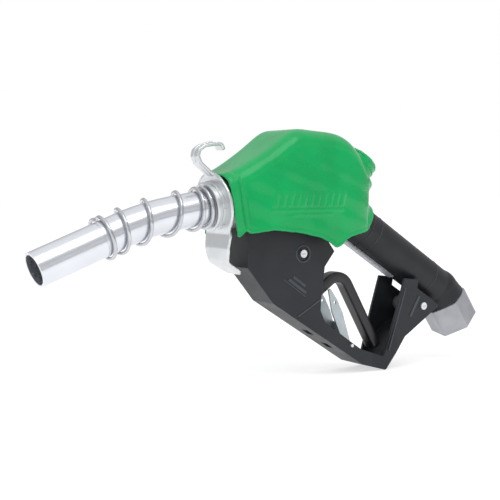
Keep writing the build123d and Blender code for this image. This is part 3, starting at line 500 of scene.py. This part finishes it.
class StageSettings(bpy.types.PropertyGroup):
    """The light and the floor"""
    light: FloatProperty(name="Light", description="Strength of the large soft light", default=3.2, min=0.0,
                         unit="POWER")
    floor: colour_property("Floor colour", "Colour of the plain floor", (0.62, 0.62, 0.62))
    drop: size_property("Floor drop", "Gap between the model's lowest point and the floor", 0.0)


class NozzleSettings(bpy.types.PropertyGroup):
    """All settings of the nozzle"""
    boot: PointerProperty(type=BootSettings, name="Boot", description="Boot shape and colour")
    plastic: PointerProperty(type=PlasticSettings, name="Plastic", description="Plastic colours and relief")
    metal: PointerProperty(type=MetalSettings, name="Metal", description="Metal colours")
    stage: PointerProperty(type=StageSettings, name="Stage", description="Light and floor")


# ---------------------------------------------------------------- operators
class NOZZLE_OT_finishes(bpy.types.Operator):
    """Builds the shared shader groups and every finish, and gives each CAD node the finish of its slot"""
    bl_idname = "nozzle.finishes"
    bl_label = "Finishes"

    def execute(self, context):
        s = context.scene.nozzle
        GROUPS.update(grain=build_grain(), wear=build_edge_wear(), lines=build_drawn_lines())
        spout_lines = {"Angle": radians(15.0), "Across": 2600.0, "Along": 22.0}
        plate_lines = {"Angle": radians(-80.0), "Across": 1500.0, "Along": 60.0}
        FINISHES.update(
            green_vinyl=finish_material(
                "Green vinyl", s.boot.colour, s.boot.shade, rough=(0.20, 0.32), grain=900.0, patch=22.0,
                bump=0.04, edge=0.0008, wear=0.35, worn=(0.06, 0.46, 0.16), Coat_Weight=0.3,
                Coat_Roughness=0.07, Specular_IOR_Level=0.22),
            black_plastic=finish_material(
                "Black plastic", s.plastic.guard, [c * 0.8 for c in s.plastic.guard], rough=(0.36, 0.5),
                grain=3200.0, patch=35.0, bump=0.16, edge=0.0009, wear=0.5, worn=(0.07, 0.08, 0.09),
                Specular_IOR_Level=0.38),
            grip_vinyl=finish_material(
                "Grip vinyl", s.plastic.grip, [c * 1.5 for c in s.plastic.grip], rough=(0.30, 0.42),
                grain=1500.0, patch=60.0, bump=0.10, edge=0.0010, wear=0.2, Coat_Weight=0.15,
                Coat_Roughness=0.3),
            # painted highlight: the guard's raised ribs, marks and screw rims are painted 3.2 times lighter
            # than the guard for the light that they catch, and their edges also get rubbed wear
            rubbed_plastic=finish_material(
                "Highlit and worn plastic", [c * 3.2 for c in s.plastic.guard], [c * 2.4 for c in s.plastic.guard],
                rough=(0.34, 0.46), grain=3200.0, patch=60.0, bump=0.12, edge=0.0004, wear=0.6,
                worn=(0.14, 0.15, 0.16)),
            sleeve_vinyl=finish_material(
                "Sleeve vinyl", s.plastic.sleeve, [c * 0.75 for c in s.plastic.sleeve], rough=(0.40, 0.52),
                grain=2600.0, patch=40.0, bump=0.14, edge=0.0008, wear=0.3, worn=(0.05, 0.05, 0.06),
                Specular_IOR_Level=0.38),
            cast_metal=finish_material(
                "Cast metal", s.metal.casting, [c * 0.88 for c in s.metal.casting], metallic=0.75,
                rough=(0.42, 0.56), grain=1800.0, patch=60.0, bump=0.22, edge=0.0022, wear=0.25,
                worn=(0.62, 0.63, 0.66)),
            plated_steel=finish_material(
                "Plated steel", s.metal.plating, [c * 0.93 for c in s.metal.plating], metallic=0.95,
                rough=(0.30, 0.42), grain=1400.0, patch=80.0, bump=0.05, edge=0.0007, wear=0.4,
                worn=(0.85, 0.86, 0.87), lines=plate_lines),
            bright_steel=finish_material(
                "Bright steel", (0.78, 0.78, 0.79), (0.70, 0.70, 0.72), metallic=0.9, rough=(0.22, 0.34),
                grain=2400.0, patch=150.0, bump=0.05, edge=0.0003, wear=0.2),
            spout_metal=finish_material(
                "Spout metal", s.metal.spout, [c * 0.95 for c in s.metal.spout], metallic=0.95,
                rough=(0.20, 0.28), grain=2600.0, patch=35.0, bump=0.03, edge=0.0005, wear=0.5,
                worn=(0.92, 0.93, 0.95), lines=spout_lines, line_bump=0.10),
            spring_wire=finish_material(
                "Spring wire", (0.60, 0.61, 0.63), (0.52, 0.53, 0.56), metallic=0.95, rough=(0.14, 0.24),
                grain=1800.0, patch=120.0, bump=0.04, edge=0.0002),
            clip_metal=finish_material(
                "Clip metal", s.metal.clip, [c * 0.9 for c in s.metal.clip], metallic=0.6, rough=(0.34, 0.44),
                grain=2000.0, patch=90.0, bump=0.08, edge=0.0003, wear=0.3),
            brass=finish_material(
                "Brass", (0.62, 0.45, 0.20), (0.55, 0.38, 0.15), metallic=0.95, rough=(0.25, 0.38),
                grain=2200.0, patch=90.0, bump=0.06, edge=0.0004, wear=0.2),
            seal_rubber=finish_material(
                "Seal rubber", (0.018, 0.018, 0.019), (0.025, 0.025, 0.026), rough=(0.5, 0.65), grain=1500.0,
                patch=80.0, bump=0.12, edge=0.0003))
        for name, obj in NODES.items():
            finish = FINISHES["sleeve_vinyl" if name == "handle_sleeve" else SLOTS[name]]
            if not obj.material_slots:
                obj.data.materials.append(finish)
            for place in obj.material_slots:
                place.material = finish
        return {"FINISHED"}


class NOZZLE_OT_boot(bpy.types.Operator):
    """Moulds the boot: soft joins, front folds, a rolled lower lip, raised side bars and rims on the bump"""
    bl_idname = "nozzle.boot"
    bl_label = "Boot"

    def execute(self, context):
        s = context.scene.nozzle.boot
        mesh = softened("scuff_cover", 1.0, 9)
        co, no = coordinates(mesh)
        x, y, z = (co[:, 0] / MM - VALVE[0], co[:, 1] / MM, co[:, 2] / MM - VALVE[1])
        # the skin's outer side faces away from the middle of the section
        outer = np.clip((no[:, 1] * np.sign(y) + no[:, 2] * 0.6 + 0.1) * 3.0, 0.0, 1.0)
        side = np.clip((np.abs(no[:, 1]) - 0.55) * 4.0, 0.0, 1.0) * (no[:, 1] * y > 0)
        push = np.zeros(len(co))
        # two rolled folds behind the hook plate, leaning with it
        front = x + FOLD_LEAN * z
        reach = band(z, -14.0, 24.0, 8.0)
        for place, width, share in FRONT_FOLDS:
            push += s.fold * share * bell(front, place, width) * reach * outer
        # leaning bars with two long lines under them
        slant = x - BAR_LEAN * z
        for k in range(BAR_COUNT):
            start = BAR_START + BAR_PITCH * k
            across = band(slant, start, start + BAR_WIDTH, 0.9)
            push += s.panel * across * band(z, BAR_FOOT, BAR_HEAD, 0.9) * side
        push += s.panel * 0.7 * band(slant, BAR_START, -12.0, 1.0) * band(z, -3.4, -1.9, 0.8) * side
        push += s.panel * 0.6 * band(slant, -66.0, -24.0, 1.0) * band(z, -7.4, -5.6, 0.8) * side
        # rolled lip along the wavy lower edge
        edge = np.interp(x, [place[0] for place in SKIRT], [place[1] for place in SKIRT])
        push += s.lip * bell(z - edge, 1.6, 1.9) * side
        # slow unevenness of soft vinyl
        push += 0.00016 * np.sin(x * 0.16 + z * 0.11) * np.sin(z * 0.19 - x * 0.05 + 1.0) * side
        co += no * push[:, None]
        mesh.vertices.foreach_set("co", co.ravel())
        mesh.update()
        piece_from_mesh("boot", mesh, "nozzle", "green_vinyl", ["scuff_cover"])
        middle = step(VALVE, 0.0, VALVE_ANGLE, BUMP_ASIDE)
        rims = [turned_ring("rim", middle, VALVE_ANGLE, bead_profile(at, 2.2, BUMP_R, 0.7)) for at in BUMP_RIMS]
        piece_from_mesh("boot_rims", joined("boot_rims", rims), "nozzle", "green_vinyl")
        return {"FINISHED"}


class NOZZLE_OT_guard_details(bpy.types.Operator):
    """Adds the guard's raised ribs, the rims round its front screws and the small bars on its cheeks"""
    bl_idname = "nozzle.guard_details"
    bl_label = "Guard details"

    def execute(self, context):
        rib = context.scene.nozzle.plastic.rib / MM
        cheek = GUARD_HALF_FRONT
        leg = GUARD_HALF_REAR
        rim = [(cheek - SUNK, 6.7), (cheek + 0.35, 6.9), (cheek + 0.55, 7.5), (cheek + 0.35, 8.1),
               (cheek - SUNK, 8.3)]
        meshes = []
        for side in (-1, 1):
            meshes.append(soft_box("rib", strip(*CHEEK_RIB, 1.1), cheek - SUNK, cheek + rib, side, 0.3))
            for along, up, length, width in MARKS:
                start = step(MARK_PLACE, along, MARK_ANGLE, up)
                end = step(start, length, MARK_ANGLE)
                outline = strip(start, end, width)
                meshes.append(soft_box("mark", outline, cheek - SUNK, cheek + MARK_HEIGHT, side, 0.2))
            meshes.append(turned_ring("rim", FRONT_SCREW, 0.0, rim, sideways=side))
        # the cheeks' ribs, marks and rims take the plastic that is painted lighter as a highlight
        piece_from_mesh("guard_cheek_ribs", joined("guard_cheek_ribs", meshes), "nozzle", "black_plastic",
                        smooth=False, finish="rubbed_plastic")
        # the leg's ribs take the same plastic, painted lighter as a highlight
        meshes = [soft_box("leg_rib", strip(start, end, width), leg - SUNK, leg + rib, side, 0.3)
                  for side in (-1, 1) for start, end, width in LEG_RIBS]
        piece_from_mesh("guard_leg_ribs", joined("guard_leg_ribs", meshes), "nozzle", "black_plastic",
                        smooth=False, finish="rubbed_plastic")
        return {"FINISHED"}


class NOZZLE_OT_handle_details(bpy.types.Operator):
    """Adds the sleeve's beads and end lip and the bare rib's fine lines, and rounds the lever's coating"""
    bl_idname = "nozzle.handle_details"
    bl_label = "Handle details"

    def execute(self, context):
        beads = [turned_ring("bead", BEND, HANDLE_ANGLE + 180.0, bead_profile(at, 1.6, SLEEVE_R, 0.35))
                 for at in SLEEVE_BEADS]
        piece_from_mesh("sleeve_beads", joined("sleeve_beads", beads), "nozzle", "grip_vinyl")
        lip = turned_ring("lip", BEND, INLET_ANGLE, bead_profile(9.6, 1.5, CUFF_R + 1.5, 0.7))
        piece_from_mesh("sleeve_lip", lip, "nozzle", "grip_vinyl")
        lines = []
        for side in (-1, 1):
            for under in RIB_LINES:
                start = step(VALVE, RIB_START, HANDLE_ANGLE, -under)
                outline = strip(start, step(start, RIB_LENGTH, HANDLE_ANGLE), 0.45)
                lines.append(soft_box("line", outline, RIB_HALF_WIDTH - SUNK, RIB_HALF_WIDTH + 0.3, side, 0.1))
        piece_from_mesh("handle_rib_lines", joined("handle_rib_lines", lines), "nozzle", "cast_metal",
                        smooth=False)
        grip = softened("lever_grip", 0.7, 26)
        piece_from_mesh("lever_coating", grip, "lever", "grip_vinyl", ["lever_grip"])
        return {"FINISHED"}


class NOZZLE_OT_hook_details(bpy.types.Operator):
    """Softens the hook plate's bends and adds the pressed bead that follows the hook strip"""
    bl_idname = "nozzle.hook_details"
    bl_label = "Hook details"

    def execute(self, context):
        piece_from_mesh("hook_pressing", softened("hook_plate", 0.6, 12), "nozzle", "plated_steel",
                        ["hook_plate"])
        plate_middle = step(PLATE, -1.5, SPOUT_ANGLE)
        curve = bpy.data.curves.new("hook_bead", "CURVE")
        curve.dimensions = "3D"
        curve.bevel_depth = 1.1 * MM
        curve.bevel_resolution = 4
        curve.use_fill_caps = True
        spline = curve.splines.new("NURBS")
        spline.points.add(len(HOOK_BEAD) - 1)
        for point, (ahead, height) in zip(spline.points, HOOK_BEAD):
            point.co = (*spot(step(plate_middle, -ahead, SPOUT_ANGLE, height)), 1.0)
        spline.order_u = 3
        spline.use_endpoint_u = True
        piece_from_mesh("hook_bead", settled(curve), "nozzle", "plated_steel")
        return {"FINISHED"}


# ---------------------------------------------------------------- stage
def area_light(name, place, target, size, power):
    """A rectangular light at a place, turned towards a target."""
    light = bpy.data.lights.new(name, "AREA")
    light.shape = "RECTANGLE"
    light.size, light.size_y = size
    light.energy = power
    obj = bpy.data.objects.new(name, light)
    bpy.context.scene.collection.objects.link(obj)
    obj.location = place
    obj.rotation_euler = (Vector(target) - Vector(place)).to_track_quat("-Z", "Y").to_euler()


def set_camera(scene):
    """The camera, looking at the middle of the model."""
    camera = bpy.data.cameras.new("camera")
    camera.lens, camera.sensor_width = CAMERA_LENS, 36.0
    seat = bpy.data.objects.new("camera", camera)
    scene.collection.objects.link(seat)
    seat.location = CAMERA_TARGET + CAMERA_DISTANCE * CAMERA_SIDE
    seat.rotation_euler = (-CAMERA_SIDE).to_track_quat("-Z", "Y").to_euler()
    scene.camera = seat


def set_floor(scene, settings):
    """A plain pale floor just below the model, with a little light of its own so that it stays even."""
    bm = bmesh.new()
    bmesh.ops.create_grid(bm, x_segments=8, y_segments=8, size=6.0)
    mesh = bpy.data.meshes.new("floor")
    bm.to_mesh(mesh)
    bm.free()
    floor = bpy.data.objects.new("floor", mesh)
    scene.collection.objects.link(floor)
    floor.location = (-0.25, 0.0, CAD_BOX[0][2] - settings.drop - 0.0005)
    paint = bpy.data.materials.new("Pale floor")
    paint.use_nodes = True
    shader = paint.node_tree.nodes["Principled BSDF"]
    shader.inputs["Base Color"].default_value = (*settings.floor, 1.0)
    shader.inputs["Roughness"].default_value = 0.9
    shader.inputs["Specular IOR Level"].default_value = 0.0
    shader.inputs["Emission Color"].default_value = (1.0, 1.0, 1.0, 1.0)
    shader.inputs["Emission Strength"].default_value = 0.60
    mesh.materials.append(paint)


def set_surroundings(scene):
    """White to the camera; to the model, bands of grey with a dark belt, which give metal its long lines."""
    world = bpy.data.worlds.new("studio")
    scene.world = world
    world.use_nodes = True
    tree = world.node_tree
    coordinate = node(tree, "TexCoord")
    apart = node(tree, "SeparateXYZ")
    ramp = node(tree, "ValToRGB")
    link(tree, (coordinate.outputs["Generated"], apart.inputs["Vector"]))
    height = remap(tree, apart.outputs["Z"], -1.0, 1.0, 0.0, 1.0)
    elements = ramp.color_ramp.elements
    elements[0].position = SKY[0][0]
    elements[1].position = SKY[-1][0]
    for position, _ in SKY[1:-1]:
        elements.new(position)
    for element, (_, grey) in zip(elements, SKY):
        element.color = (grey, grey, grey * 1.02, 1.0)
    seen = node(tree, "LightPath")
    white = node(tree, "Mix", data_type="RGBA")
    white.inputs["B"].default_value = (1.0, 1.0, 1.0, 1.0)
    link(tree, (height, ramp.inputs["Fac"]), (ramp.outputs["Color"], white.inputs["A"]),
         (seen.outputs["Is Camera Ray"], white.inputs["Factor"]),
         (white.outputs["Result"], tree.nodes["Background"].inputs["Color"]))


class NOZZLE_OT_stage(bpy.types.Operator):
    """Sets the plain pale floor, the soft studio light and the camera"""
    bl_idname = "nozzle.stage"
    bl_label = "Stage"

    def execute(self, context):
        s = context.scene.nozzle.stage
        scene = context.scene
        set_camera(scene)
        scene.view_settings.view_transform = "Standard"
        set_floor(scene, s)
        set_surroundings(scene)
        area_light("soft_top", (-0.45, -0.55, 1.15), (-0.22, 0.0, 0.1), (0.9, 0.7), s.light)
        area_light("glint", (-0.02, -0.74, 1.02), (-0.24, 0.0, 0.15), (0.10, 0.04), s.light * 0.25)
        area_light("soft_left", (-1.15, -0.5, 0.55), (-0.25, 0.0, 0.1), (0.5, 0.9), s.light * 0.35)
        return {"FINISHED"}


STEPS = (NOZZLE_OT_finishes, NOZZLE_OT_boot, NOZZLE_OT_guard_details, NOZZLE_OT_handle_details,
         NOZZLE_OT_hook_details, NOZZLE_OT_stage)


class NOZZLE_PT_panel(bpy.types.Panel):
    """Lists the settings and the steps in order"""
    bl_idname = "NOZZLE_PT_panel"
    bl_label = "Fuel nozzle"
    bl_space_type = "VIEW_3D"
    bl_region_type = "UI"
    bl_category = "Nozzle"

    def draw(self, context):
        for group in ("boot", "plastic", "metal", "stage"):
            settings = getattr(context.scene.nozzle, group)
            box = self.layout.box()
            for name in settings.bl_rna.properties.keys():
                if name not in ("rna_type", "name"):
                    box.prop(settings, name)
        for operator in STEPS:
            self.layout.operator(operator.bl_idname)


CLASSES = (BootSettings, PlasticSettings, MetalSettings, StageSettings, NozzleSettings, *STEPS, NOZZLE_PT_panel)


def register():
    for cls in CLASSES:
        bpy.utils.register_class(cls)
    bpy.types.Scene.nozzle = PointerProperty(type=NozzleSettings)


def unregister():
    del bpy.types.Scene.nozzle
    for cls in reversed(CLASSES):
        bpy.utils.unregister_class(cls)


def main():
    register()
    bpy.ops.nozzle.finishes()
    bpy.ops.nozzle.boot()
    bpy.ops.nozzle.guard_details()
    bpy.ops.nozzle.handle_details()
    bpy.ops.nozzle.hook_details()
    bpy.ops.nozzle.stage()


if __name__ == "__main__":
    main()
